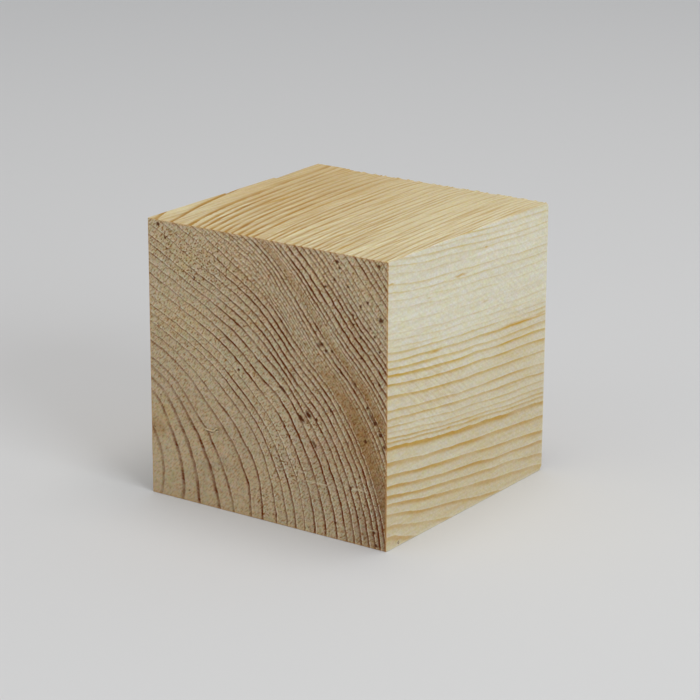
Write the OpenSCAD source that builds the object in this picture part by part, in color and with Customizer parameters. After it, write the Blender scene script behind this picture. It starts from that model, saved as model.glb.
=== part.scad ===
// Solid cube of slow-grown pine, sawn from one piece of wood. Millimetres.
//
// The origin is the centre of the base and +Z is up. The grain runs along Y, so the
// two faces that look along -Y and +Y are end grain, and the other four are long grain.

/* [Cube] */
// Length of each edge, from face to face
side = 50; // [20:1:120]

/* [Edges] */
// Width lost from each face where the sharp edges were lightly sanded
arris = 0.15; // [0.05:0.05:2]
// Depth knocked off the one blunted bottom corner, along the cube's diagonal
knock = 0.25; // [0.1:0.05:3]

/* [Hidden] */

half = side / 2;

// Three sanded edges meet at a point that lies this far inside each face
eased_corner = arris / 2;

// The knocked corner is at the base, towards +X and +Y. Its cut is square to the
// cube's diagonal, which runs out of that corner this far round and this far down.
diagonal_round = 45;
diagonal_down = atan(1 / sqrt(2));

// The cube's outline from any side: a square whose corners are cut across
module eased_square() {
  intersection() {
    square(side, center = true);
    rotate(45) square((side - arris) * sqrt(2), center = true);
  }
}

// The outline drawn out to the cube's length, centred on the origin
module eased_bar() {
  linear_extrude(side, center = true) eased_square();
}

// All twelve edges are eased where three bars, one along each axis, share their space
module eased_cube() {
  intersection() {
    eased_bar();
    rotate([90, 0, 0]) eased_bar();
    rotate([0, 90, 0]) eased_bar();
  }
}

// Everything past the cut across the knocked corner
module knocked_corner() {
  translate([half - eased_corner, half - eased_corner, -(half - eased_corner)])
    rotate([0, diagonal_down, diagonal_round])
      translate([-knock, -half, -half])
        cube(side);
}

module wooden_cube() {
  color("#c9b98f")
    translate([0, 0, half])
      difference() {
        eased_cube();
        knocked_corner();
      }
}

wooden_cube();
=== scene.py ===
import math
from types import SimpleNamespace

import bpy
import numpy as np
from mathutils import Matrix, Vector, noise


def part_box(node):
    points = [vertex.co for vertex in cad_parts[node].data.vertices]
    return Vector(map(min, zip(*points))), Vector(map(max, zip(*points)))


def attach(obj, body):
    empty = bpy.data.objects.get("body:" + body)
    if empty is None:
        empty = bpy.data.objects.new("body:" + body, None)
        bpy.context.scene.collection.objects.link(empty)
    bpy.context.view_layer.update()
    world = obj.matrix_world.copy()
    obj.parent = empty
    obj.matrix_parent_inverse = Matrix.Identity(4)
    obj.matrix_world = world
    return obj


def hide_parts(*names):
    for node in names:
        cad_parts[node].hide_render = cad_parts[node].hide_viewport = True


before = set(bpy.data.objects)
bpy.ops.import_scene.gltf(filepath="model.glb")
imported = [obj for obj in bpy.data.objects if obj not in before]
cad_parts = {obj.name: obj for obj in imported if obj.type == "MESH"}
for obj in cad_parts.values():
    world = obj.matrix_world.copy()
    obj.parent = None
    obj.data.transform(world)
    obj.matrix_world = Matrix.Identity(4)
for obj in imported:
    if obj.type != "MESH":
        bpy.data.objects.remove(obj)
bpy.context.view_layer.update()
cubeLow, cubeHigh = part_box("wooden_cube")
toMetres = 0.001  # everything below is worked out in millimetres
half = (cubeHigh.x - cubeLow.x) / 2 / toMetres

view = {
    "azimuth": 35.02,
    "elevation": 17.24,
    "roll": 0.21,
    "distance": 458.7,  # mm from the middle of the block
    "lens": 133.76,
    "sensor": 36,
    "slide": (-0.05, -0.53),  # mm right and up of the middle of the block
    "clip": (0.01, 30),  # m
}

studio = {
    "sky": (0.94, 0.97, 1),
    "skyStrength": 0.42,
    "floorColor": (0.66, 0.665, 0.68),
    "floorRough": 0.85,
    "floorReach": 4,  # m
    "lamps": [
        # name, where it stands (m), side (m), watts, colour
        ("sideWindow", (0.95, -0.28, 0.42), 0.55, 5.2, (0.93, 0.98, 1)),
        ("overhead", (0.12, 0.05, 1.05), 0.6, 4.6, (1, 0.94, 0.86)),
        ("frontFill", (-0.45, -0.95, 0.4), 0.7, 0.9, (1, 0.95, 0.88)),
    ],
}


def addObject(name, data):
    thing = bpy.data.objects.new(name, data)
    bpy.context.scene.collection.objects.link(thing)
    return thing


def aimAt(thing, place, target):
    back = (Vector(place) - Vector(target)).normalized()
    thing.rotation_euler = back.to_track_quat("Z", "Y").to_euler()
    thing.location = place


def setCamera(middle):
    around, rise, roll = [math.radians(view[name]) for name in ("azimuth", "elevation", "roll")]
    back = Vector((math.sin(around) * math.cos(rise), -math.cos(around) * math.cos(rise), math.sin(rise)))
    right = Vector((math.cos(around), math.sin(around), 0))
    up = back.cross(right)
    target = middle + (right * view["slide"][0] + up * view["slide"][1]) * toMetres
    axisX = right * math.cos(roll) + up * math.sin(roll)
    axisY = up * math.cos(roll) - right * math.sin(roll)
    place = target + back * view["distance"] * toMetres
    data = bpy.data.cameras.new("studioCamera")
    data.lens = view["lens"]
    data.sensor_width = view["sensor"]
    data.clip_start = view["clip"][0]
    data.clip_end = view["clip"][1]
    camera = addObject("studioCamera", data)
    turned = Matrix((axisX, axisY, back)).transposed().to_4x4()
    camera.matrix_world = Matrix.Translation(place) @ turned
    bpy.context.scene.camera = camera


def setStudio(middle):
    world = bpy.data.worlds.new("softRoom")
    world.use_nodes = True
    sky = world.node_tree.nodes["Background"]
    sky.inputs["Color"].default_value = (*studio["sky"], 1)
    sky.inputs["Strength"].default_value = studio["skyStrength"]
    bpy.context.scene.world = world
    bpy.context.scene.view_settings.view_transform = "Standard"
    for name, place, side, watts, color in studio["lamps"]:
        data = bpy.data.lights.new(name, "AREA")
        data.size = side
        data.energy = watts
        data.color = color
        aimAt(addObject(name, data), place, middle)


def makeFloor():
    mesh = bpy.data.meshes.new("floor")
    reach = studio["floorReach"]
    corners = [(-reach, -reach, 0), (reach, -reach, 0), (reach, reach, 0), (-reach, reach, 0)]
    mesh.from_pydata(corners, [], [(0, 1, 2, 3)])
    floor = addObject("floor", mesh)
    floor.location.z = cubeLow.z
    paper = bpy.data.materials.new("palePaper")
    paper.use_nodes = True
    shader = paper.node_tree.nodes["Principled BSDF"]
    shader.inputs["Base Color"].default_value = (*studio["floorColor"], 1)
    shader.inputs["Roughness"].default_value = studio["floorRough"]
    mesh.materials.append(paper)


# How the tree grew. Marks are where the dark line that closes each ring meets the block's edges: along
# the foot of the front from its left corner, then up the front right corner, in mm. After each place
# comes how strong the line is on the sawn ends, then on the planed sides.
growth = {
    "heart": (-34, 6),  # middle of the tree, across and up
    "footMarks": [
        (1.8, 0.3, 0.5), (7, 0.7, 0.6), (10.5, 0.8, 0.7), (15, 0.85, 0.7), (18, 0.65, 0.7),
        (21.9, 0.7, 0.7), (24.2, 0.75, 0.7), (27.3, 0.6, 0.7), (29.5, 0.7, 0.7), (31.3, 0.9, 0.7),
        (33.3, 0.35, 0.6), (35.5, 0.95, 0.7), (37.7, 1.05, 0.7), (40, 1.1, 0.7), (42, 1.1, 0.7),
        (43.6, 0.95, 0.7), (45, 1, 0.7), (46.5, 0.95, 0.7), (47.8, 1.1, 0.7), (48.8, 1.05, 0.7),
        (49.9, 0.9, 0.7),
    ],
    "cornerMarks": [
        (2.5, 0.45, 0.6), (4.3, 0.3, 0.45), (6.5, 0.3, 0.7), (8.4, 0.35, 0.8), (9.9, 0.4, 0.7),
        (11.6, 0.5, 0.9), (13.6, 0.6, 0.9), (15.8, 0.95, 1), (18.4, 1.1, 1.3), (19.2, 0.35, 0.6),
        (19.9, 0.2, 0.6), (20.8, 0.2, 0.35), (21.9, 0.35, 0.45), (23.4, 0.9, 0.75), (24.8, 1, 0.7),
        (27, 1.15, 0.85), (29.2, 1.15, 0.9), (31, 0.95, 1), (32.1, 0.8, 0.7), (33.5, 0.85, 0.7),
        (34.8, 0.5, 0.55), (35.6, 0.4, 0.25), (36.7, 0.4, 0.25), (37.8, 0.5, 0.28), (39.8, 0.4, 0.15),
        (42.1, 0.8, 0.22), (43.5, 0.75, 0.25), (45, 0.8, 0.35), (46.3, 0.6, 0.4), (48, 0.5, 0.2),
        (49.4, 0.6, 0.3),
    ],
    # ring and strength where the lines have climbed to the upper left of the sawn ends
    "upperLines": [
        (0, 0.3), (3, 0.3), (5, 0.4), (6, 0.25), (7, 0.4), (8, 0.25), (9, 0.45), (10, 0.2), (11, 0.4),
        (14, 0.45), (16, 0.45), (18, 0.25), (20, 0.5), (22, 0.3), (24, 0.5), (28, 0.5), (29, 0.8),
        (33, 0.35), (34, 0.8),
    ],
    # where that change begins and is complete, in degrees up from level: ring, begins, complete
    "upperTurn": [(5, 18, 48), (10, 36, 62)],
    # ring and strength on the top
    "topLines": [
        (8, 0.7), (14, 0.85), (21, 1.05), (25, 0.95), (28.9, 1.1), (29.1, 0.15), (32, 0.15), (32.7, 1),
        (37, 0.65), (41, 0.75), (45, 0.6), (49, 0.5), (54, 0.55),
    ],
    "topFade": (1.25, 0.6),  # front, back
    "sideFade": (1, 0.75),
    # the rings lean out towards the lower right, below this direction (degrees up from level)
    "lean": {"below": 31, "soft": 2, "reach": 36, "start": 27, "run": 13, "rise": 10},
    # and swell or sink in these directions: side, spread (degrees), start, run, rise (mm)
    "swells": [
        (-15, 14, 30, 3, -1.9), (-15, 18, 50, 5, 1.5), (55, 25, 10, 3, 1.5), (60, 28, 19, 2, -2),
        (62, 22, 28, 4, -3), (65, 20, 47, 4, 3.4), (22, 12, 64, 3, 0.8), (20, 10, 26, 5, 0.4),
        (31, 12, 27, 1.5, 0.8), (31, 12, 34, 4, -0.35), (31, 12, 44, 1.2, -0.6), (8, 14, 28, 2.5, 0.4),
        (8, 14, 34.5, 1.5, -0.45), (62, 18, 25.5, 1, -0.4), (60, 18, 29, 1.5, 0.7), (60, 20, 37, 1, -0.4),
        (51, 9, 49.5, 1.5, 1), (51, 9, 54, 1.5, -1), (25, 7, 39, 1, 0.5), (25, 7, 43.8, 1, -0.75),
        (25, 7, 48, 1, 0.25), (8, 12, 31, 1, 0.35), (8, 12, 33.8, 1, -0.35), (75, 12, 43, 1.5, 0.35),
        (24, 6, 65, 1.5, -0.15), (36, 7, 64.5, 1.5, 0.15),
    ],
    "drift": (-1.25, -2.4),  # how far the heart wanders from front to back, across and up
    "settle": 0.4,  # most of the fall comes in the front part
    # rings inside the first mark and outside the last: how far apart, how strong
    "firstRings": {"apart": 4, "count": 4, "sawn": 0.3, "planed": 0.5},
    "lastRings": {"apart": 0.65, "strengths": [0.45, 0.3, 0.5, 0.35] * 3},
    # seeded unevenness of the rings: size, then two noises: share, stretch, start
    "wander": 0.12,
    "wanderNoises": [(1, (0.28, 0.03, 0.28), (0, 0, 0)), (0.5, (0.8, 0.06, 0.8), (0, 0, 7))],
    "flattest": 0.02,  # keeps the gap finite where a ring lies along a face
    "ahead": 0.15,  # a line has its own strength this share of a ring before its end
}


def softNoise(points, stretch, start):
    moved = points * np.array(stretch) + start
    return np.array([noise.noise(place) for place in moved])


def noiseSum(points, noises):
    return sum(share * softNoise(points, stretch, start) for share, stretch, start in noises)


def within(value):
    return np.clip(value, 0, 1)


def bell(value):
    return np.exp(-value ** 2)


def fromTable(value, table):
    return np.interp(value, [row[0] for row in table], [row[1] for row in table])


def aroundHeart(x, z):
    # distance from the heart and direction, in degrees up from level
    across = x - growth["heart"][0]
    up = z - growth["heart"][1]
    return np.hypot(across, up), np.degrees(np.arctan2(up, across))


def growRadius(x, z):
    radius, side = aroundHeart(x, z)
    lean = growth["lean"]
    slope = np.logaddexp(0, (lean["below"] - side) / lean["soft"]) * lean["soft"] / lean["reach"]
    grown = radius - lean["rise"] * slope * 0.5 * (1 + np.tanh((radius - lean["start"]) / lean["run"]))
    for at, spread, start, run, rise in growth["swells"]:
        reach = 0.5 * (1 + np.tanh((radius - start) / run))
        grown = grown - rise * bell((side - at) / spread) * reach
    return grown


def ringMarks():
    marks = growth["footMarks"] + growth["cornerMarks"]
    foot = np.array([mark[0] for mark in growth["footMarks"]])
    corner = np.array([mark[0] for mark in growth["cornerMarks"]])
    radii = np.concatenate([
        growRadius(foot - half, np.zeros(len(foot))),
        growRadius(np.full(len(corner), half), corner),
    ])
    first, last = growth["firstRings"], growth["lastRings"]
    before = radii[0] - first["apart"] * np.arange(first["count"], 0, -1)
    after = radii[-1] + last["apart"] * np.arange(1, len(last["strengths"]) + 1)
    sawn = [first["sawn"]] * len(before) + [mark[1] for mark in marks] + last["strengths"]
    planed = [first["planed"]] * len(before) + [mark[2] for mark in marks] + last["strengths"]
    radii = np.concatenate([before, radii, after])
    numbers = np.arange(len(radii)) - len(before)
    return radii, numbers, sawn, planed


def facesOf(normal):
    # for each direction 1 on the two faces across it, and 0 past their arrises
    return within((np.abs(normal) - block["faceFrom"]) / block["faceBlend"])


def ringField(points, normal):
    x, y, z = points.T
    depth = within((y + half) / (2 * half))
    settle = growth["settle"]
    fall = (1 - np.exp(-depth / settle)) / (1 - math.exp(-1 / settle))
    x = x - growth["drift"][0] * depth
    z = z - growth["drift"][1] * fall
    wander = noiseSum(np.stack([x, y, z], 1), growth["wanderNoises"])
    radius = growRadius(x, z)
    small = 0.05
    steepX = (growRadius(x + small, z) - growRadius(x - small, z)) / (2 * small)
    steepZ = (growRadius(x, z + small) - growRadius(x, z - small)) / (2 * small)
    radius = radius + wander * growth["wander"]
    radii, numbers, sawn, planed = ringMarks()
    age = np.interp(radius, radii, numbers)
    faces = facesOf(normal)
    ends, tops = faces[:, 1], faces[:, 2]
    sides = (1 - ends - tops).clip(0, 1)
    # distance to the next line as it is seen on the face
    steep = np.sqrt(steepX ** 2 * (ends + tops) + steepZ ** 2 * (ends + sides) + growth["flattest"])
    gap = np.interp(age, numbers[1:] - 0.5, np.diff(radii)) / steep
    # the strength of each line changes with the face and the place on it
    side = aroundHeart(x, z)[1]
    rings, starts, fulls = np.array(growth["upperTurn"], float).T
    start, full = np.interp(age, rings, starts), np.interp(age, rings, fulls)
    climbed = within((side - start) / (full - start))
    counted = numbers - growth["ahead"]
    sawnLine = np.interp(age, counted, sawn) * (1 - climbed)
    sawnLine = sawnLine + fromTable(age, growth["upperLines"]) * climbed
    sideLine = np.interp(age, counted, planed) * np.interp(depth, [0, 1], growth["sideFade"])
    topLine = fromTable(age, growth["topLines"]) * np.interp(depth, [0, 1], growth["topFade"])
    strength = sawnLine * ends + topLine * tops + sideLine * sides
    return age, gap, strength


block = {
    "cells": 106,  # even cells between the finer ones by the arrises
    "edgeSteps": (0, 0.06, 0.12, 0.2, 0.32, 0.5, 0.75),  # mm
    "faceFrom": 0.55,  # a face begins where its normal is this straight, and is full a little further
    "faceBlend": 0.3,
    "arris": 0.15,
    "arrisChange": 0.07,
    "arrisNoise": ((0.35, 0.35, 0.35), (3, 0, 0)),  # stretch, start
    # gentle unevenness of the faces: deepest, noises, middle and swing, full this far in
    "hollow": 0.05,
    "hollowNoises": [(1, (0.06, 0.02, 0.06), (20, 0, 0)), (0.4, (0.3, 0.05, 0.3), (40, 0, 0))],
    "hollowLevel": (0.5, 0.6),
    "hollowRim": 2,
    # bruised corners at the back right: which way up, size
    "bruises": [(-1, 0.6), (1, 0.4)],
    "bruiseShape": (1.6, 1.3, 0.55),  # reach, sharpness, depth, in sizes
}

# The sawn back edge of the top: the face dips, then a ragged burr stands up at the edge.
backEdge = {
    "seed": 11,
    "begins": -20,
    "grows": 4,
    "dip": 0.27,
    "dipReach": 7,
    "dipShape": 1.5,
    "burrShape": 1.6,
    "burrWidth": 0.22,
    "thick": 0.6,  # only what lies this near the edge moves
    "torn": 0.25,
    "tornChange": 0.8,
    "tornDown": 0.5,
}

leftEdge = {
    # small torn steps in the top left edge: place, how far it reaches back, depth
    "steps": [(11, 12, 0.22), (-3.5, 4, 0.14)],
    "reach": 0.6,
    "inwards": 0.7,
}

# Small hole by the foot of the right side.
pit = {
    "place": (25, -21.2, 0.55),
    "depth": 0.35,
    "reach": 0.3,
    "stretch": (1, 0.75, 1.2),
    "pitShade": (0.18, 0.42, 0.9, 0),  # painted shade in the hole: full to here, gone from here, strengths
}

# Fibres torn up by the saw on the front: across from the left edge, up, depth of the middle below
# the face, half the thickness.
curls = {
    "paths": [
        [
            (11.3, 14.15, 0.5, 0.08), (11.8, 14.03, 0.24, 0.14), (12.6, 13.97, 0.17, 0.15),
            (13.4, 13.93, 0.17, 0.14), (13.75, 14.1, 0.16, 0.12), (14.1, 14.45, 0.17, 0.1),
            (14.4, 14.65, 0.45, 0.06),
        ],
        [
            (13.95, 13.8, 0.5, 0.06), (14.15, 13.95, 0.18, 0.11), (14.45, 14.05, 0.19, 0.1),
            (14.7, 14, 0.5, 0.05),
        ],
    ],
    "sides": 8,
    "rounds": 3,  # times the bends are rounded off
    "cut": 0.25,
    "dent": 0.27,
    "reach": 0.7,
    "tint": (1.25, 1.27, 1.32),
    "tone": (0, 0.3, 0),  # brown, torn, rim
}

# Six square islands for baking, three across and two up, and a strip above them for the curls.
sheet = {
    "columns": 3,
    "fill": 0.48,
    "rowHeight": 0.48,
    "islands": [
        # directions across and up, and their signs
        ((0, 2), (1, 1)), ((1, 2), (1, 1)), ((0, 2), (-1, 1)),
        ((1, 2), (-1, 1)), ((0, 1), (1, 1)), ((0, 1), (1, -1)),
    ],
    "stripFrom": (0.02, 0.965),
    "stripSize": (0.4, 0.03),
    "stripStep": 0.5,
}


def curlTube(knots):
    knots = np.array(knots)
    near, far = 1 - curls["cut"], curls["cut"]
    for turn in range(curls["rounds"]):
        pairs = [near * knots[:-1] + far * knots[1:], far * knots[:-1] + near * knots[1:]]
        knots = np.concatenate([knots[:1], np.stack(pairs, 1).reshape(-1, 4), knots[-1:]])
    core = np.stack([knots[:, 0] - half, knots[:, 2] - half, knots[:, 1] - half], 1)
    ahead = np.gradient(core, axis=0)
    ahead = ahead / np.linalg.norm(ahead, axis=1, keepdims=True)
    aside = np.cross(ahead, (0, 1, 0))
    aside = aside / np.linalg.norm(aside, axis=1, keepdims=True)
    inward = np.cross(aside, ahead)
    sides = curls["sides"]
    around = np.linspace(0.5, 2.5, sides + 1)[:-1, None] * math.pi
    circle = aside[:, None] * np.cos(around) + inward[:, None] * np.sin(around)
    hoops = core[:, None] + circle * knots[:, 3, None, None]
    count = len(core)
    points = np.concatenate([hoops.reshape(-1, 3), core[:1], core[-1:]])
    last = (count - 1) * sides
    after = [(side + 1) % sides for side in range(sides)]
    faces = [
        (start + side, start + sides + side, start + sides + after[side], start + after[side])
        for start in range(0, last, sides) for side in range(sides)
    ]
    faces += [(count * sides, side, after[side]) for side in range(sides)]
    faces += [(count * sides + 1, last + after[side], last + side) for side in range(sides)]
    laid = [(hoop / count, side / sides) for hoop in range(count) for side in range(sides)]
    return points, faces, np.array(laid + [(0, 0.5), (1, 0.5)])


def makeCurls(first):
    points, faces, sheets = [], [], []
    for place, knots in enumerate(curls["paths"]):
        tube, tubeFaces, laid = curlTube(knots)
        faces += [tuple(corner + first for corner in face) for face in tubeFaces]
        first += len(tube)
        points.append(tube)
        start = np.array(sheet["stripFrom"]) + (sheet["stripStep"] * place, 0)
        sheets.append(start + laid * sheet["stripSize"])
    return np.concatenate(points), faces, np.concatenate(sheets)


def gridLines():
    steps = np.array(block["edgeSteps"])
    inner = np.linspace(-half + steps[-1], half - steps[-1], block["cells"] + 1)
    return np.concatenate([-half + steps[:-1], inner, half - steps[:-1][::-1]])


def latticeSheets(count):
    u, v = np.meshgrid(np.arange(count + 1), np.arange(count + 1), indexing="ij")
    zero, full = np.zeros_like(u), np.full_like(u, count)
    # front, right, back, left, top, bottom, each with its outside towards you
    return [
        (u, zero, v), (full, u, v), (count - u, full, v),
        (zero, count - u, v), (u, v, full), (u, count - v, zero),
    ]


def buildBlock():
    cuts = gridLines()
    count = len(cuts) - 1
    stride = count + 1
    codes = [(i * stride + j) * stride + k for i, j, k in latticeSheets(count)]
    corners = [
        np.stack([code[:-1, :-1], code[1:, :-1], code[1:, 1:], code[:-1, 1:]], -1).reshape(-1, 4)
        for code in codes
    ]
    used = np.unique(np.concatenate([code.ravel() for code in codes]))
    quads = np.searchsorted(used, np.concatenate(corners))
    i, rest = np.divmod(used, stride * stride)
    j, k = np.divmod(rest, stride)
    flat = np.stack([cuts[i], cuts[j], cuts[k]], 1)
    return flat, quads, count


def easeArrises(flat):
    arris = block["arris"] + block["arrisChange"] * softNoise(flat, *block["arrisNoise"])[:, None]
    core = np.clip(flat, -half + arris, half - arris)
    out = flat - core
    length = np.linalg.norm(out, axis=1, keepdims=True)
    normal = out / np.maximum(length, 1e-9)
    return core + normal * arris, normal


def wearFaces(points, normal, flat):
    # gentle unevenness, always inwards, none underneath
    level, swing = block["hollowLevel"]
    depth = block["hollow"] * within(level + swing * noiseSum(flat, block["hollowNoises"]))
    rim = half - np.sort(np.abs(flat), axis=1)[:, 1]
    depth = depth * within(rim / block["hollowRim"]) * (flat[:, 2] > -half)
    points = points - normal * depth[:, None]
    reach, sharpness, deep = block["bruiseShape"]
    for up, size in block["bruises"]:
        corner = np.array([half, half, half * up])
        away = np.linalg.norm(flat - corner, axis=1)
        push = within(1 - away / (size * reach)) ** sharpness * size * deep
        points = points - (corner / np.linalg.norm(corner)) * push[:, None]
    return points


def tearBackEdge(points, flat):
    rng = np.random.default_rng(backEdge["seed"])
    columns = np.unique(flat[:, 0])
    burr = rng.uniform(0, 1, len(columns)) ** backEdge["burrShape"]
    tear = rng.uniform(0, 1, len(columns))
    column = np.searchsorted(columns, flat[:, 0])
    along = within((flat[:, 0] - backEdge["begins"]) / backEdge["grows"])
    toBack = half - flat[:, 1]
    toTop = half - flat[:, 2]
    onTop = within(1 - toTop / backEdge["thick"])
    dip = within(1 - toBack / backEdge["dipReach"]) ** backEdge["dipShape"]
    stand = burr[column] * bell(toBack / backEdge["burrWidth"])
    points[:, 2] -= backEdge["dip"] * along * (dip - stand) * onTop
    nearBack = within(1 - toBack / backEdge["thick"])
    nearBack = nearBack * bell(toTop / backEdge["tornDown"])
    points[:, 1] -= backEdge["torn"] * along * (1 - backEdge["tornChange"] * tear[column]) * nearBack


def tearLeftEdge(points, flat):
    toLeft = half + flat[:, 0]
    toTop = half - flat[:, 2]
    near = bell(toLeft / leftEdge["reach"]) * bell(toTop / leftEdge["reach"])
    for start, run, drop in leftEdge["steps"]:
        behind = (flat[:, 1] > start) * within(1 - (flat[:, 1] - start) / run)
        points[:, 0] += drop * leftEdge["inwards"] * behind * near
        points[:, 2] -= drop * behind * near


def dentFaces(points, flat):
    # shallow dents under the torn fibres, and the small hole
    onFront = flat[:, 1] == -half
    for knots in curls["paths"]:
        across, up = np.array(knots)[:, 0] - half, np.array(knots)[:, 1] - half
        away = np.hypot(flat[:, 0, None] - across, flat[:, 2, None] - up).min(axis=1)
        points[:, 1] += curls["dent"] * bell(away / curls["reach"]) * onFront
    hole = np.array(pit["place"]) - np.array([0, 0, half])
    away = np.linalg.norm((flat - hole) * pit["stretch"], axis=1)
    points[:, 0] -= pit["depth"] * bell(away / pit["reach"])


def shapeBlock(flat):
    points, normal = easeArrises(flat)
    points = wearFaces(points, normal, flat)
    tearBackEdge(points, flat)
    tearLeftEdge(points, flat)
    dentFaces(points, flat)
    return points, normal


# Broad tints of the wood, and on the front also painted shade and light, lighter along the top and
# darker towards the lower right: place, half length and half width, tilt, colour. Places are in mm, on
# the front from its left edge and up, on the right side from its front edge and up, on the top from its
# left and front edges.
broadTintsAndShade = {
    "front": [
        # the dark patch at 49, 5 and the light strip at 25, 48 are painted shade and painted light: the
        # front falls darker from the top to the lower right
        ((46, 20), (17, 8), -65, (0.83, 0.74, 0.63)), ((49, 5), (9, 13), 0, (0.71, 0.66, 0.66)),
        ((36, 9), (9, 10), 0, (0.9, 0.9, 0.93)), ((21, 16), (9, 8), 20, (1, 1.03, 1.1)),
        ((31, 16), (3.5, 2), 20, (0.88, 0.9, 0.96)), ((28, 12), (4, 2), 20, (0.92, 0.94, 1)),
        ((7.5, 43), (4, 3), 0, (1, 1, 0.86)), ((3, 17), (3, 4.5), 0, (1.02, 1, 0.84)),
        ((45.5, 44.5), (4, 6), 0, (1, 0.99, 0.93)), ((36, 46), (6, 6), 0, (1.08, 1.08, 1.05)),
        ((15, 46), (8, 6), 0, (0.95, 0.92, 0.87)), ((4, 46), (6, 6), 0, (1, 0.97, 0.92)),
        ((18, 30), (3, 3), 0, (0.93, 0.96, 0.94)), ((26, 28), (4, 2.5), 30, (0.92, 0.97, 0.96)),
        ((19, 23), (3, 3), 30, (0.92, 0.95, 0.97)), ((6, 4.5), (5, 1.6), 8, (0.93, 0.96, 0.88)),
        ((15, 7.5), (6, 2.2), 12, (0.86, 0.88, 0.9)), ((0.9, 12), (2.2, 5), 0, (0.83, 0.72, 0.6)),
        ((33, 21), (3, 2.5), 0, (0.86, 0.76, 0.72)), ((36, 34), (3.5, 1.5), -20, (0.88, 0.8, 0.76)),
        ((47.3, 7), (1.6, 1.2), 0, (0.85, 0.88, 0.98)), ((37, 16), (4, 2.5), 0, (0.95, 0.87, 0.9)),
        ((24, 42), (10, 6), 0, (1, 0.96, 0.94)), ((8, 33), (10, 6), -20, (1.03, 1, 0.93)),
        ((25, 48), (34, 8), 0, (1.08, 1.05, 1.03)), ((5, 20), (9, 10), 0, (0.97, 0.95, 0.95)),
        ((46, 34), (7, 9), -60, (0.95, 0.93, 0.92)),
    ],
    "right": [
        ((42, 27), (16, 12), 0, (0.97, 0.93, 0.87)), ((14, 27), (16, 8), 0, (0.99, 0.97, 0.95)),
        ((38, 47), (18, 6), 0, (1.05, 1.05, 1.06)), ((10, 11), (18, 12), 0, (1, 1.03, 1.08)),
    ],
    "top": [
        ((10, 38), (16, 18), 0, (0.94, 0.94, 0.93)), ((8, 8), (18, 17), 0, (1.05, 1.16, 1.33)),
        ((48, 25), (8, 32), 0, (1.05, 1.07, 1.12)), ((30, 6), (14, 9), 0, (1.03, 1.05, 1.07)),
    ],
}

sawnFront = {
    # where the saw left it roughest: place, half length, half width, tilt, strength
    "rough": [
        ((28, 13), (10, 4), -62, 0.5), ((34, 21), (4, 2.5), -40, 0.4), ((24, 3.5), (6, 3), 0, 0.3),
        ((12, 44.5), (16, 6), -14, 0.5), ((45, 8), (4, 3), 0, 0.4), ((34, 42), (9, 5), -25, 0.2),
    ],
    # it tore the wood least by the lower left corner: least there, how much more, over how far
    "leastTorn": 0.4,
    "moreTorn": 0.56,
    "tornReach": (34, 30),
    # orange rims of the ends, a painted glow of light through the thin edges (mm), their share away from
    # the right edge, where they are full, pale rims of the right side, a painted highlight
    "rim": 0.45,
    "rimShare": 0.65,
    "rightRim": 0.5,
    "highlightRim": 0.4,
}

# Two brown belts follow the rings on the ends and hide the lines in them: ring where each begins, how
# soon it is full, its strength by ring and by direction (degrees up from level).
belts = {
    "each": [
        (20.2, 0.3, [(22, 1), (24.5, 0.75), (26.5, 0.6), (27.2, 0)], [(25, 1), (31, 0)]),
        (28.9, 0.2, [(30.5, 1), (32, 0.5), (33.4, 0)], [(20, 1.1), (30, 0.8), (38, 0.6), (46, 1)]),
    ],
    "most": 1.1,
    "hide": 0.85,
}

# Each tint has an uneven rim: stretch of its noise, three starts, how far it moves.
unevenRim = {"stretch": (0.25, 0.25, 0.25), "starts": (60, 80, 70), "reach": 3.5}


def ovalOf(across, up, middle, reach, tilt, soft):
    # 1 in the middle of a tilted oval, 0 at its rim
    turn = math.radians(tilt)
    aside, above = across - middle[0], up - middle[1]
    first = (aside * math.cos(turn) + above * math.sin(turn)) / reach[0]
    second = (above * math.cos(turn) - aside * math.sin(turn)) / reach[1]
    inside = within((1 - np.hypot(first, second)) / (1 - soft))
    return inside * inside * (3 - 2 * inside)


def tintsOf(points, facing):
    away = [softNoise(points, unevenRim["stretch"], (start, 0, 0)) for start in unevenRim["starts"]]
    x, y, z = (points + np.stack(away, 1) * unevenRim["reach"] + (half, half, 0)).T
    faces = {
        "front": (x, z, within(-facing[:, 1])),
        "right": (y, z, within(facing[:, 0])),
        "top": (x, y, within(facing[:, 2])),
    }
    tintAndShade = np.ones((len(points), 3))
    for name, (across, up, seen) in faces.items():
        for middle, reach, tilt, tint in broadTintsAndShade[name]:
            amount = (seen * ovalOf(across, up, middle, reach, tilt, 0.1))[:, None]
            tintAndShade = tintAndShade * (1 + amount * (np.array(tint) - 1))
    rough = np.zeros(len(points))
    for middle, reach, tilt, amount in sawnFront["rough"]:
        rough = np.maximum(rough, amount * ovalOf(x, z, middle, reach, tilt, 0.2))
    return tintAndShade, rough


def toneOf(points, facing, age, rough):
    x, y, z = points.T
    side = aroundHeart(x, z)[1]
    brown = np.zeros(len(points))
    for begins, full, ringTable, sideTable in belts["each"]:
        belt = within((age - begins) / full) * fromTable(age, ringTable)
        brown = brown + belt * fromTable(side, sideTable)
    brown = np.clip(brown, 0, belts["most"])
    far = np.hypot((x + half) / sawnFront["tornReach"][0], z / sawnFront["tornReach"][1])
    torn = sawnFront["leastTorn"] + sawnFront["moreTorn"] * within(far)
    # the rims of the ends are orange, a painted glow of light through the thin edges; two rims of the
    # right side, at its foot and back, are pale, a painted highlight
    edge = half - np.maximum(np.abs(x), np.abs(z - half))
    share = np.where(x > half - sawnFront["rightRim"], 1, sawnFront["rimShare"])
    rim = within(1 - edge / sawnFront["rim"]) * share
    pale = within(1 - np.minimum(half - y, z) / sawnFront["highlightRim"])
    rim = np.where(facing[:, 0] > 0.5, pale, rim)
    return np.stack([brown, torn + rough, rim], 1)


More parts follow.
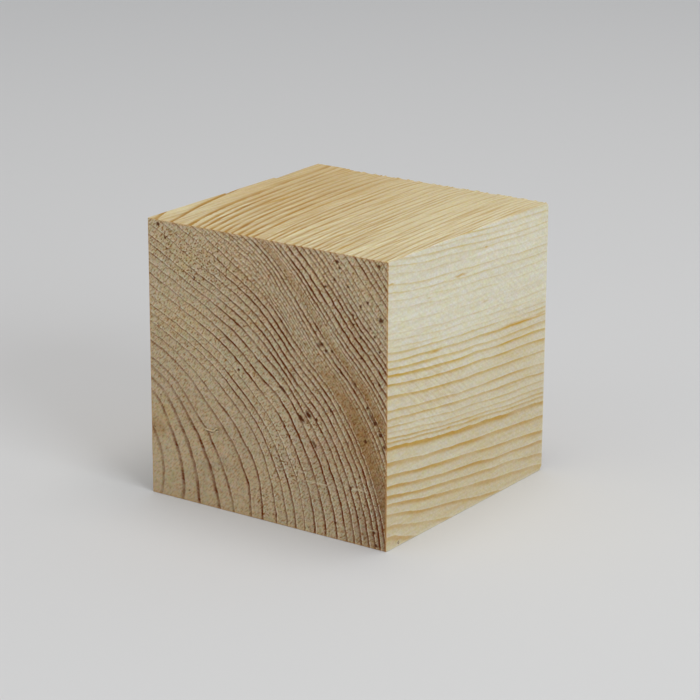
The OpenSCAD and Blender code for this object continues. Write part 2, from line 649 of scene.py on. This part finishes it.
def layUv(mesh, flat, count, curlSheet):
    layer = mesh.uv_layers.new(name="OFBake")
    perSide = count * count
    loops = np.empty(len(mesh.loops), int)
    mesh.loops.foreach_get("vertex_index", loops)
    blockLoops = perSide * 4 * len(sheet["islands"])
    corners = flat[loops[:blockLoops]] / half * sheet["fill"]
    uv = np.empty((len(loops), 2))
    for place, ((first, second), (signA, signB)) in enumerate(sheet["islands"]):
        part = slice(place * perSide * 4, (place + 1) * perSide * 4)
        row, column = divmod(place, sheet["columns"])
        uv[part, 0] = (column + 0.5 + corners[part, first] * signA) / sheet["columns"]
        uv[part, 1] = (row + 0.5 + corners[part, second] * signB) * sheet["rowHeight"]
    uv[blockLoops:] = curlSheet[loops[blockLoops:] - len(flat)]
    layer.data.foreach_set("uv", uv.ravel())


def addVector(mesh, name, values):
    attribute = mesh.attributes.new(name, "FLOAT_VECTOR", "POINT")
    attribute.data.foreach_set("vector", np.ascontiguousarray(values, dtype=np.float32).ravel())


def makeBlock():
    flat, quads, count = buildBlock()
    points, normal = shapeBlock(flat)
    curlPoints, curlFaces, curlSheet = makeCurls(len(points))
    standing = np.concatenate([points, curlPoints]) + (0, 0, half)
    normal = np.concatenate([normal, np.tile((0, -1, 0), (len(curlPoints), 1))])
    curled = slice(len(points), None)
    mesh = bpy.data.meshes.new("pineBlock")
    foot = np.array([(cubeLow.x + cubeHigh.x) / 2, (cubeLow.y + cubeHigh.y) / 2, cubeLow.z])
    mesh.from_pydata((standing * toMetres + foot).tolist(), [], quads.tolist() + curlFaces)
    mesh.update()
    mesh.shade_smooth()
    layUv(mesh, flat, count, curlSheet)
    age, gap, strength = ringField(standing, normal)
    facing = facesOf(normal) * np.sign(normal)
    tintAndShade, rough = tintsOf(standing, facing)
    tone = toneOf(standing, facing, age, rough)
    strength = strength * (1 - belts["hide"] * within(tone[:, 0]) * np.abs(facing[:, 1]))
    strength[curled] = 0
    tintAndShade[curled] = curls["tint"]
    tone[curled] = curls["tone"]
    addVector(mesh, "growth", np.stack([age, gap, strength], 1))
    addVector(mesh, "tintAndShade", tintAndShade)
    addVector(mesh, "tone", tone)
    addVector(mesh, "facing", facing)
    return addObject("pineBlock", mesh)


# The finish of the wood. Places on a face are measured as for the broad tints.
wood = {
    "creamSide": (0.648, 0.612, 0.482),  # outer wood
    "honeySide": (0.545, 0.463, 0.303),  # inner wood
    "bandSideOuter": (0.515, 0.345, 0.065),
    "bandSideInner": (0.44, 0.26, 0.066),
    # the top's colours are yellower than the sides', partly a painted warm light from the lamp above
    "creamTopAndWarmLight": (0.665, 0.578, 0.358),
    "honeyTopAndWarmLight": (0.62, 0.482, 0.259),
    "bandTop": (0.42, 0.23, 0.045),
    "amber": (0.50, 0.29, 0.045),
    "sawnPale": (0.515, 0.403, 0.252),
    "sawnLine": (0.135, 0.027, 0.003),
    "sawnBrown": (0.39, 0.235, 0.095),
    "paleFleckAndHighlight": (0.66, 0.565, 0.385),
    "resinAndShadow": (0.095, 0.026, 0.006),
    # orange rims: painted glow of light through the thin edges; pale rims: painted highlight
    "edgeGlowTint": (0.62, 0.33, 0.11),
    "highlightRim": (0.72, 0.68, 0.52),
    "shade": (0.64, 1, 1.32),  # a darker tint is also redder: red, green, blue
}

sawnSpots = {
    # resin spots by size
    "dark": {
        0.25: [(46.5, 38.3), (47.3, 37)],
        0.3: [
            (40.3, 47.5), (39.3, 45.4), (42, 44.6), (37.4, 43.9), (44.6, 41.7), (45.9, 42.5),
            (43, 39.9), (43.1, 38.4), (44.6, 36.4), (48.3, 34.6), (44.8, 32.9), (38.8, 33),
            (40.7, 29.6), (43.5, 28.3), (48.3, 28.9), (38.6, 22.6), (44.1, 5), (39.5, 2.9), (10, 40.9),
            (3.8, 47), (19.4, 26.2),
        ],
        0.35: [
            (48.1, 49), (37.6, 32.8), (45.6, 18.6), (44.5, 12.1), (42.6, 9.8), (47.4, 2.9), (28.2, 24.8),
        ],
        0.4: [(39.8, 48.5), (46, 24.5), (48.6, 20.3), (49.4, 18.4), (47.9, 0.7), (2.3, 49.2)],
        0.45: [(47.6, 22.1), (36.8, 33.8)],
        0.5: [(48.6, 40)],
    },
    # longer dark stains, and painted shadow under the torn fibres: place, half length and half width,
    # tilt, strength
    "stainsAndShadows": [
        ((32.4, 20.2), (1.5, 0.48), -43, 1), ((34, 21), (1.1, 0.5), -53, 1),
        ((35.6, 20.4), (0.42, 0.38), 0, 1), ((28.7, 24.4), (1.1, 0.5), -40, 0.85),
        ((35.2, 16), (1.2, 0.45), -57, 0.8), ((30.9, 27.2), (0.9, 0.3), -50, 0.5),
        ((36.2, 33.6), (0.9, 0.5), 25, 0.6), ((46.9, 22.9), (1.6, 0.4), -62, 0.7),
        ((16.8, 31.4), (1.6, 0.25), -40, 0.6), ((43.4, 27.8), (1.3, 0.35), -55, 0.45),
        # the stains at 12.8, 13.7 and at 14, 14 are painted shadow under the torn fibres
        ((49.3, 17.5), (1.5, 0.3), -68, 0.6), ((12.8, 13.7), (1.1, 0.15), -2, 0.6),
        ((14, 14), (0.4, 0.12), 45, 0.5),
    ],
    # pale scuffs across the lines: place, half length and half width, tilt, strength
    "scuffs": [
        ((43.5, 9.8), (3.4, 0.3), 0, 0.6), ((36, 9.2), (4.5, 0.25), 1, 0.5),
        ((33, 10.6), (3, 0.22), 0, 0.35), ((47.2, 3.2), (1.4, 0.25), 3, 0.4),
    ],
}

amberStreaks = {
    # place, half length and half width, tilt, strength
    "side": [
        ((21.5, 43), (3, 0.4), -2, 1), ((0.9, 46.2), (1.3, 0.3), -4, 0.9),
        ((29.5, 46.2), (0.8, 0.3), 0, 0.6), ((40.5, 30.1), (10.5, 0.55), -3.6, 1),
        ((48, 30), (3.5, 0.4), -3, 0.8), ((14, 31.5), (2.5, 0.45), -4, 0.8),
        ((18.6, 16.8), (1, 0.3), -2, 0.9), ((40, 46.3), (1, 0.25), 0, 0.5),
        ((29.5, 36.6), (1.4, 0.3), -3, 0.5), ((12, 41.3), (1, 0.25), -2, 0.5),
        ((27, 16.1), (4, 0.35), -4, 0.7), ((2.5, 30.3), (2.5, 0.3), -5, 0.5),
    ],
    "top": [
        ((19, 25.5), (0.35, 5), 2, 0.9), ((10.8, 23.5), (0.45, 6), -3, 0.95),
        ((34.2, 9.8), (0.35, 1.8), 6, 0.8), ((38.6, 4), (0.9, 4.5), 3, 0.6),
        ((19.6, 33), (0.6, 6), 0, 0.35), ((30.5, 29), (0.5, 3), 3, 0.4),
        ((21, 10), (0.4, 4.5), 8, 0.5), ((29.7, 11), (0.35, 2), 5, 0.5),
        ((43.5, 12), (0.4, 2), 3, 0.35),
    ],
}

# Patterns of the grain: changes per mm across, along and up, finer layers, their roughness, start.
patterns = {
    # what pushes the ring lines about, and their stretches and dots
    "ragged": ((0.7, 0.09, 0.7), 2, 0.5, (0, 0, 0)),
    "frayed": ((3.4, 0.3, 3.4), 1, 0.5, (0, 0, 0)),
    "wavy": ((0.2, 0.09, 0.2), 1, 0.5, (5, 5, 1)),
    "stretches": ((0.16, 1, 1), 1, 0.5, (0, 0, 0)),
    "dots": ((1.1, 1, 1), 1, 0.5, (50, 0, 0)),
    # planed faces
    "fibres": ((1.9, 0.08, 1.9), 2, 0.65, (0, 0, 0)),
    "dust": ((2.8, 1.8, 2.8), 0, 0.5, (7, 7, 7)),
    "streaks": ((1.2, 0.035, 1.2), 1, 0.5, (4, 0, 8)),
    "clouds": ((0.09, 0.05, 0.09), 2, 0.5, (2, 5, 1)),
    "planedHues": ((1.8, 0.7, 1.8), 1, 0.7, (9, 4, 2)),
    "golden": ((1.7, 0.05, 1.7), 1, 0.5, (1, 3, 17)),
    "wobble": ((0.5, 0.5, 0.5), 2, 0.5, (0, 0, 0)),
    "scratches": ((0.3, 2.1, 1), 1, 0.6, (0, 0, 0)),
    # sawn ends
    "strokes": ((1.2, 3.6, 1), 0, 0.5, (0, 0, 0)),
    "pores": ((3.9, 0.5, 3.9), 0, 0.5, (3, 3, 3)),
    "rays": ((2, 0.22, 0.1), 1, 0.6, (0, 0, 0)),
    "smoke": ((0.11, 0.05, 0.11), 3, 0.55, (6, 1, 4)),
    "mottle": ((1.1, 0.1, 1.1), 3, 0.6, (8, 8, 8)),
    "sawnHues": ((2, 0.3, 2), 1, 0.7, (9, 4, 2)),
    "holeShadeSpecks": ((2.8, 0.4, 2.8), 0, 0.5, (13, 2, 5)),
    "shiver": ((1.6, 0.2, 1.6), 1, 0.5, (2, 9, 4)),
}


pine = bpy.data.materials.new("planedPine")
pine.use_nodes = True
nodes, links = pine.node_tree.nodes, pine.node_tree.links


def plug(socket, value):
    if isinstance(value, bpy.types.NodeSocket):
        links.new(value, socket)
    elif isinstance(value, tuple) and len(value) == 3 and socket.type == "RGBA":
        socket.default_value = (*value, 1)
    else:
        socket.default_value = value


def build(kind, values, **settings):
    node = nodes.new("ShaderNode" + kind)
    for name, value in settings.items():
        setattr(node, name, value)
    for socket, value in zip(node.inputs, values):
        plug(socket, value)
    return node


def calc(operation, *values, clamp=False):
    return build("Math", values, operation=operation, use_clamp=clamp).outputs[0]


def times(*values):
    result = values[0]
    for value in values[1:]:
        result = calc("MULTIPLY", result, value)
    return result


def scaled(value, by, plus):
    return calc("MULTIPLY_ADD", value, by, plus)


def centred(value):
    return calc("SUBTRACT", value, 0.5)


def vector(operation, *values):
    outputs = build("VectorMath", values, operation=operation).outputs
    return outputs["Value"] if operation in ("LENGTH", "DISTANCE") else outputs[0]


def split(value):
    return build("SeparateXYZ", (value,)).outputs


def join(x, y, z):
    return build("CombineXYZ", (x, y, z)).outputs[0]


def turned(flat, degrees):
    return build("Mapping", (flat, (0, 0, 0), (0, 0, math.radians(degrees)))).outputs[0]


def fade(value, start, end, low=0, high=1, smooth=True):
    kind = "SMOOTHSTEP" if smooth else "LINEAR"
    return build("MapRange", (value, start, end, low, high), interpolation_type=kind).outputs[0]


def mix(amount, first, second, blend="MIX"):
    node = build("Mix", (amount,), data_type="RGBA", blend_type=blend)
    # the sockets for colours come after those for numbers and vectors
    plug(node.inputs[6], first)
    plug(node.inputs[7], second)
    return node.outputs[2]


def shade(color, change):
    tinted = join(*[scaled(change, share, 1) for share in wood["shade"]])
    return mix(1, color, tinted, "MULTIPLY")


def grain(place, name, output="Fac"):
    stretch, layers, rough, start = patterns[name]
    moved = vector("MULTIPLY_ADD", place, stretch, start)
    return build("TexNoise", (moved, 0, 1, layers, rough)).outputs[output]


def blot(place, middle, reach, tilt, soft):
    # 1 in the middle of a tilted oval, 0 at its rim
    oval = (place, (*middle, 0), (0, 0, math.radians(tilt)), (*reach, 1))
    inside = build("Mapping", oval, vector_type="TEXTURE").outputs[0]
    return fade(vector("LENGTH", inside), soft, 1, 1, 0)


def blots(place, spots, soft):
    strongest = 0
    for middle, reach, tilt, amount in spots:
        strongest = calc("MAXIMUM", strongest, times(blot(place, middle, reach, tilt, soft), amount))
    return strongest


def attribute(name):
    return build("Attribute", (), attribute_name=name).outputs["Vector"]


def readWood():
    here = SimpleNamespace()
    here.place = vector("MULTIPLY", build("TexCoord", ()).outputs["Object"], (1 / toMetres,) * 3)
    here.x, here.y, here.z = split(here.place)
    # across and up from the heart
    here.across = calc("SUBTRACT", here.x, growth["heart"][0])
    here.rise = calc("SUBTRACT", here.z, growth["heart"][1])
    here.age, here.gap, here.strength = split(attribute("growth"))
    here.brown, here.torn, here.rim = split(attribute("tone"))
    toRight, toBack, toTop = split(attribute("facing"))
    here.ends, here.sides, here.level = [calc("ABSOLUTE", toward) for toward in (toBack, toRight, toTop)]
    here.front = calc("MULTIPLY", toBack, -1, clamp=True)
    here.right = fade(toRight, 0, 1, smooth=False)
    here.top = fade(toTop, 0, 1, smooth=False)
    fromLeft, fromFront = calc("ADD", here.x, half), calc("ADD", here.y, half)
    here.frontFlat = join(fromLeft, here.z, 0)
    here.sideFlat = join(fromFront, here.z, 0)
    here.topFlat = join(fromLeft, fromFront, 0)
    return here


# The dark line that closes each ring. Lengths are in mm.
lines = {
    # how far the patterns push a line, and how much farther out it is on the sawn ends
    "ragged": 0.3,
    "frayed": 0.1,
    "frayedOnEnds": 0.12,
    "wavyOnSides": 0.65,
    "outward": 0.1,
    # width of a faint line, what a strong one has more, and the most it may take of its ring
    "width": 0.16,
    "strongWider": 0.37,
    "mostOfRing": 0.6,
    # inner planed lines are broader: from this ring to this, times as broad
    "planedTimes": (27, 33, 1.75, 1.3),
    # lines near the heart are broad and soft on the ends: over these rings
    "heartRings": (-0.5, 9, 1, 0),
    "heartWider": 0.4,
    "darkCore": 0.3,
    "spill": 0.08,
    "heartSpill": 0.24,
    # a line's track: mm per radian around the heart, share of the depth, step per ring
    "turnLength": 45,
    "depthShare": 0.6,
    "ringStep": 7.3,
    "stretches": (0.28, 0.72, 0.5, 1.4),
    "dots": 0.3,
    # on the ends faint lines are helped and all are a little paler
    "endPower": 0.65,
    "endPaler": 0.1,
    # the pale outer side of a line: paler early wood, and on the sawn ends also a painted highlight
    # where light catches the ridge of the line
    "paleFrom": 0.05,
    "paleTo": 0.42,
    "paleOfRing": 0.55,
    "paleStrength": (0.1, 0.4),
    # the wood darkens before a line, slowly on the ends, close to it where planed
    "duskPower": 3,
    "glowFrom": 1.6,
    "glowOfRing": 0.7,
}


def lineWidth(here):
    width = scaled(calc("MINIMUM", here.strength, 1), lines["strongWider"], lines["width"])
    wider = calc("SUBTRACT", fade(here.age, *lines["planedTimes"]), 1)
    wider = scaled(wider, calc("SUBTRACT", 1, here.ends), 1)
    width = times(width, wider)
    broad = times(fade(here.age, *lines["heartRings"]), here.ends)
    width = scaled(broad, lines["heartWider"], width)
    return broad, calc("MINIMUM", width, times(here.gap, lines["mostOfRing"]))


def ringLines(here):
    push = centred(grain(here.place, "frayed"))
    push = times(push, scaled(here.ends, lines["frayedOnEnds"], lines["frayed"]))
    push = scaled(here.ends, -lines["outward"], push)
    wavy = fade(here.sides, 0, 1, 0, lines["wavyOnSides"])
    push = scaled(centred(grain(here.place, "wavy")), wavy, push)
    push = scaled(centred(grain(here.place, "ragged")), lines["ragged"], push)
    age = calc("ADD", here.age, calc("DIVIDE", push, here.gap))
    part = calc("FRACT", age)
    inside = times(calc("SUBTRACT", 1, part), here.gap)
    outside = times(part, here.gap)
    broad, width = lineWidth(here)
    late = fade(inside, times(width, lines["darkCore"]), width, 1, 0)
    spill = scaled(broad, lines["heartSpill"], lines["spill"])
    late = calc("MAXIMUM", late, fade(outside, 0, spill, 1, 0))
    # each line has its own strong and weak stretches, and small dots along it
    turn = calc("ARCTAN2", here.rise, here.across)
    along = scaled(here.y, lines["depthShare"], times(turn, lines["turnLength"]))
    track = join(along, times(calc("CEIL", age), lines["ringStep"]), 0)
    stretches = fade(grain(track, "stretches"), *lines["stretches"], smooth=False)
    dots = scaled(centred(grain(track, "dots")), calc("ADD", here.ends, lines["dots"]), 1)
    firm = calc("POWER", here.strength, fade(here.ends, 0, 1, 1, lines["endPower"]))
    firm = times(firm, scaled(here.ends, -lines["endPaler"], 1))
    line = times(late, firm, stretches, dots)
    paleTo = calc("MINIMUM", lines["paleTo"], times(here.gap, lines["paleOfRing"]))
    pale = fade(outside, lines["paleFrom"], paleTo, 1, 0)
    pale = times(pale, fade(here.strength, *lines["paleStrength"]), fade(outside, 0, spill))
    dusk = times(calc("POWER", part, lines["duskPower"]), here.strength)
    glowFrom = calc("MINIMUM", lines["glowFrom"], times(here.gap, lines["glowOfRing"]))
    glow = times(fade(inside, 0, glowFrom, 1, 0), here.strength, stretches)
    return SimpleNamespace(line=line, late=late, pale=pale, dusk=dusk, glow=glow, turn=turn)


# The planed faces. Four numbers in a row are from, to, and the amounts there.
planed = {
    "outerRings": (22, 46),  # honey coloured inside, creamy outside
    "cloudReach": 10,  # rings
    "glow": (0, 1, 0.46, 0.1),  # sides, top
    "pale": 0.22,
    "line": 0.85,
    # fine fibres and wider streaks, strongest by the front of the top
    "topLively": (-25, 25, 1.7, 0.6),
    "sideLively": 0.4,
    "fibres": 0.6,
    "streaks": 0.25,
    "dust": (0.2, 0.8, -0.085, 0.035),
    "hues": ((0.18, 0.06, 0.55), (0.91, 0.97, 0.725)),  # swing, darkest
    "golden": (0.55, 0.7),
    "goldenOnSides": 0.12,
    "goldenOnTop": 0.33,
    # the amber streaks keep to the lines
    "wobble": ((0.5, 0.5, 0.5), (-0.25, -0.25, -0.25)),
    "amberSoft": 0.1,
    "amber": 0.7,
    "amberOnLines": 0.35,
    # slanting scratches, plainest in the lower front part of the side
    "slant": 38,
    "scratches": (0.3, 0.7, -1, 1),
    "plainest": ((13, 25), (16, 9), -20, 0.2),
    "plainestShare": 0.6,
    "scratchTint": 0.11,
    "rim": 0.6,
    # height of the bump
    "fibreHeight": 0.9,
    "lineHeight": 0.4,
    "scratchHeight": 0.35,
}


def plainWood(here, rings):
    shift = times(centred(grain(here.place, "clouds")), planed["cloudReach"])
    outer = fade(calc("ADD", here.age, shift), *planed["outerRings"])
    side = mix(outer, wood["honeySide"], wood["creamSide"])
    # the top is yellower than the sides, partly painted warm light from above
    topside = mix(outer, wood["honeyTopAndWarmLight"], wood["creamTopAndWarmLight"])
    band = mix(here.level, mix(outer, wood["bandSideInner"], wood["bandSideOuter"]), wood["bandTop"])
    color = mix(here.level, side, topside)
    glow = calc("MULTIPLY", rings.glow, fade(here.level, *planed["glow"]), clamp=True)
    color = mix(glow, color, band)
    color = mix(1, color, attribute("tintAndShade"), "MULTIPLY")
    color = mix(times(rings.pale, planed["pale"]), color, wood["creamSide"])
    return mix(calc("MULTIPLY", rings.line, planed["line"], clamp=True), color, band), band


def planedFinish(here, rings):
    color, band = plainWood(here, rings)
    fibres = grain(here.place, "fibres")
    lively = calc("SUBTRACT", fade(here.y, *planed["topLively"], smooth=False), planed["sideLively"])
    lively = scaled(here.level, lively, planed["sideLively"])
    tint = times(centred(fibres), lively, planed["fibres"])
    broad = times(centred(grain(here.place, "streaks")), lively, planed["streaks"])
    dust = fade(grain(here.place, "dust"), *planed["dust"], smooth=False)
    color = shade(color, calc("ADD", dust, calc("ADD", tint, broad)))
    hues = vector("MULTIPLY_ADD", grain(here.place, "planedHues", "Color"), *planed["hues"])
    color = mix(1, color, hues, "MULTIPLY")
    golden = fade(grain(here.place, "golden"), *planed["golden"])
    share = scaled(here.level, planed["goldenOnTop"], planed["goldenOnSides"])
    color = mix(times(golden, share), color, mix(0.5, band, wood["amber"]))
    wobble = vector("MULTIPLY_ADD", grain(here.place, "wobble", "Color"), *planed["wobble"])
    onLines = scaled(rings.late, planed["amberOnLines"], planed["amber"])
    for name, flat, face in (("side", here.sideFlat, here.right), ("top", here.topFlat, here.top)):
        amber = blots(vector("ADD", flat, wobble), amberStreaks[name], planed["amberSoft"])
        color = mix(times(amber, face, onLines), color, wood["amber"])
    scratches = grain(turned(here.sideFlat, planed["slant"]), "scratches")
    share = planed["plainestShare"]
    plainest = scaled(blot(here.sideFlat, *planed["plainest"]), share, 1 - share)
    scratched = times(plainest, here.sides, fade(scratches, *planed["scratches"], smooth=False))
    color = shade(color, times(scratched, planed["scratchTint"]))
    # pale rims at the foot and back of the right side: painted highlight
    color = mix(times(here.rim, here.right, planed["rim"]), color, wood["highlightRim"])
    height = times(fibres, planed["fibreHeight"])
    height = scaled(rings.line, planed["lineHeight"], height)
    height = scaled(scratched, planed["scratchHeight"], height)
    return color, height


# The sawn ends, with rows of four as above.
sawn = {
    "dusk": 0.25,
    "smoke": (0.4, 0.7, 0, 0.2),
    "mottle": (0.35, 0.62, 0.35, 1),
    "belt": 0.95,
    "paintedLightFromAbove": (0, 50, -0.07, 0.06),  # the ends are painted lighter towards the top, painted light from above
    "pale": 0.65,
    # strokes of the saw, open pores, rays from the heart
    "lean": -46,
    "strokes": 1.25,
    "pores": 0.65,
    "rays": 0.2,
    "rayLength": 55,  # mm per radian
    # the saw's hollows are darker than its ridges are light: partly the torn wood's own tone, partly
    # painted shade in the hollows and painted highlight on the ridges
    "hollow": 1.4,
    "ridge": 0.45,
    "lighter": 0.08,
    "mostTorn": 1.05,
    "hues": ((0.5, 0.14, 0.65), (0.75, 0.93, 0.675)),  # swing, darkest
    # dark specks where the saw tore most, painted shade of small holes
    "holeShadeSpecks": (0.58, 0.7),
    "speckTorn": (1.3, -0.85),
    "scuffSoft": 0.2,
    "scuffStrokes": (0.1, 0.45),
    # resin spots, stains and canals, and painted shadow under the torn fibres
    "shiver": ((0.5, 0.5, 0), (-0.25, -0.25, 0)),
    "spot": (0.4, 1.2, 0.95, 0),  # in sizes
    "stainSoft": 0.35,
    "canalCells": (0.62, 0.02, 0.62),
    "canals": (0.06, 0.13, 0.6, 0),
    "canalChosen": (0.5, 0.55),
    "rim": 0.7,
    # height of the bump
    "poreHeight": 0.3,
    "strokeHeight": 0.7,
    "resinDepth": 1.2,
}


def sawnWood(here, rings):
    color = mix(times(rings.dusk, sawn["dusk"]), wood["sawnPale"], wood["sawnBrown"])
    color = mix(fade(grain(here.place, "smoke"), *sawn["smoke"]), color, wood["sawnBrown"])
    mottle = fade(grain(here.place, "mottle"), *sawn["mottle"])
    belt = calc("MULTIPLY", times(here.brown, mottle), sawn["belt"], clamp=True)
    color = mix(belt, color, wood["sawnBrown"])
    # the broad tints, with the front's painted shade, lighter along the top and darker at the lower right
    color = mix(1, color, attribute("tintAndShade"), "MULTIPLY")
    # painted light from above: the ends lighter towards the top
    color = shade(color, fade(here.z, *sawn["paintedLightFromAbove"], smooth=False))
    # the pale outer side of each line on the ends: partly painted highlight on the ridge the saw left
    return mix(times(rings.pale, here.torn, sawn["pale"]), color, wood["paleFleckAndHighlight"])


def sawnResinAndShadow(here):
    shiver = vector("MULTIPLY_ADD", grain(here.place, "shiver", "Color"), *sawn["shiver"])
    unsteady = vector("ADD", here.frontFlat, shiver)
    resinAndShadow = blots(unsteady, sawnSpots["stainsAndShadows"], sawn["stainSoft"])
    full, gone, most, none = sawn["spot"]
    for size, places in sawnSpots["dark"].items():
        for place in places:
            away = vector("DISTANCE", unsteady, (*place, 0))
            resinAndShadow = calc("MAXIMUM", resinAndShadow, fade(away, size * full, size * gone, most, none))
    cells = build("TexVoronoi", (vector("MULTIPLY", here.place, sawn["canalCells"]), 0, 1)).outputs
    chosen = fade(split(cells["Color"])[0], *sawn["canalChosen"])
    return calc("MAXIMUM", resinAndShadow, times(fade(cells["Distance"], *sawn["canals"]), chosen))


def sawnFinish(here, rings):
    color = sawnWood(here, rings)
    strokes = grain(turned(here.frontFlat, sawn["lean"]), "strokes")
    pores = grain(here.place, "pores")
    fromHeart = vector("LENGTH", join(here.across, 0, here.rise))
    rays = grain(join(times(rings.turn, sawn["rayLength"]), fromHeart, here.y), "rays")
    # saw strokes, pores and rays tint the colour: partly the wood's own tone, partly painted shade in the
    # hollows and painted highlight on the ridges
    tint = times(centred(strokes), sawn["strokes"])
    tint = scaled(centred(pores), sawn["pores"], tint)
    tint = scaled(centred(rays), sawn["rays"], tint)
    tint = calc("MINIMUM", times(tint, sawn["hollow"]), times(tint, sawn["ridge"]))
    tint = calc("ADD", tint, sawn["lighter"])
    color = shade(color, times(tint, calc("MINIMUM", here.torn, sawn["mostTorn"])))
    hues = vector("MULTIPLY_ADD", grain(here.place, "sawnHues", "Color"), *sawn["hues"])
    color = mix(1, color, hues, "MULTIPLY")
    # dark specks: painted shade of small holes where the saw tore most
    holeShadeSpecks = fade(grain(here.place, "holeShadeSpecks"), *sawn["holeShadeSpecks"])
    holeShadeSpecks = calc("MULTIPLY", holeShadeSpecks, scaled(here.torn, *sawn["speckTorn"]), clamp=True)
    color = mix(holeShadeSpecks, color, wood["sawnBrown"], "MULTIPLY")
    color = mix(calc("MINIMUM", rings.line, 1), color, wood["sawnLine"])
    # scuffs lie over the lines
    scuffs = blots(here.frontFlat, sawnSpots["scuffs"], sawn["scuffSoft"])
    scuffs = times(scuffs, here.front, fade(strokes, *sawn["scuffStrokes"]))
    color = mix(scuffs, color, wood["paleFleckAndHighlight"])
    resinAndShadow = sawnResinAndShadow(here)
    # resin spots and stains, and painted shadow under the torn fibres
    color = mix(resinAndShadow, color, wood["resinAndShadow"])
    # orange rims of the ends: painted glow of light through the thin edges
    color = mix(times(here.rim, sawn["rim"]), color, wood["edgeGlowTint"])
    height = scaled(pores, sawn["poreHeight"], times(strokes, sawn["strokeHeight"]))
    height = times(height, here.torn)
    height = calc("SUBTRACT", height, times(resinAndShadow, sawn["resinDepth"]))
    return color, height


surface = {
    "rough": 0.62,
    "endsRougher": 0.2,
    "linesSmoother": 0.08,
    "shine": 0.12,
    "bump": 0.4,
    "bumpHeight": 0.06,  # mm
}


def makePine():
    shader = nodes["Principled BSDF"]
    here = readWood()
    rings = ringLines(here)
    planedColor, planedHeight = planedFinish(here, rings)
    sawnColor, sawnHeight = sawnFinish(here, rings)
    color = mix(here.ends, planedColor, sawnColor)
    # painted shade inside the small hole
    toPit = vector("DISTANCE", here.place, pit["place"])
    color = mix(fade(toPit, *pit["pitShade"]), color, wood["resinAndShadow"])
    plug(shader.inputs["Base Color"], color)
    rough = scaled(here.ends, surface["endsRougher"], surface["rough"])
    rough = calc("SUBTRACT", rough, times(rings.late, surface["linesSmoother"]))
    plug(shader.inputs["Roughness"], rough)
    plug(shader.inputs["Specular IOR Level"], surface["shine"])
    bump = build("Bump", (surface["bump"], surface["bumpHeight"] * toMetres))
    plug(bump.inputs["Height"], fade(here.ends, 0, 1, planedHeight, sawnHeight, smooth=False))
    plug(shader.inputs["Normal"], bump.outputs[0])


middle = (cubeLow + cubeHigh) / 2
setCamera(middle)
setStudio(middle)
makeFloor()
print("camera and studio set")

pineBlock = makeBlock()
print("block shaped:", len(pineBlock.data.polygons), "faces")
makePine()
pineBlock.data.materials.append(pine)
print("wood finished:", len(nodes), "nodes")
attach(pineBlock, "root")
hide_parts("wooden_cube")
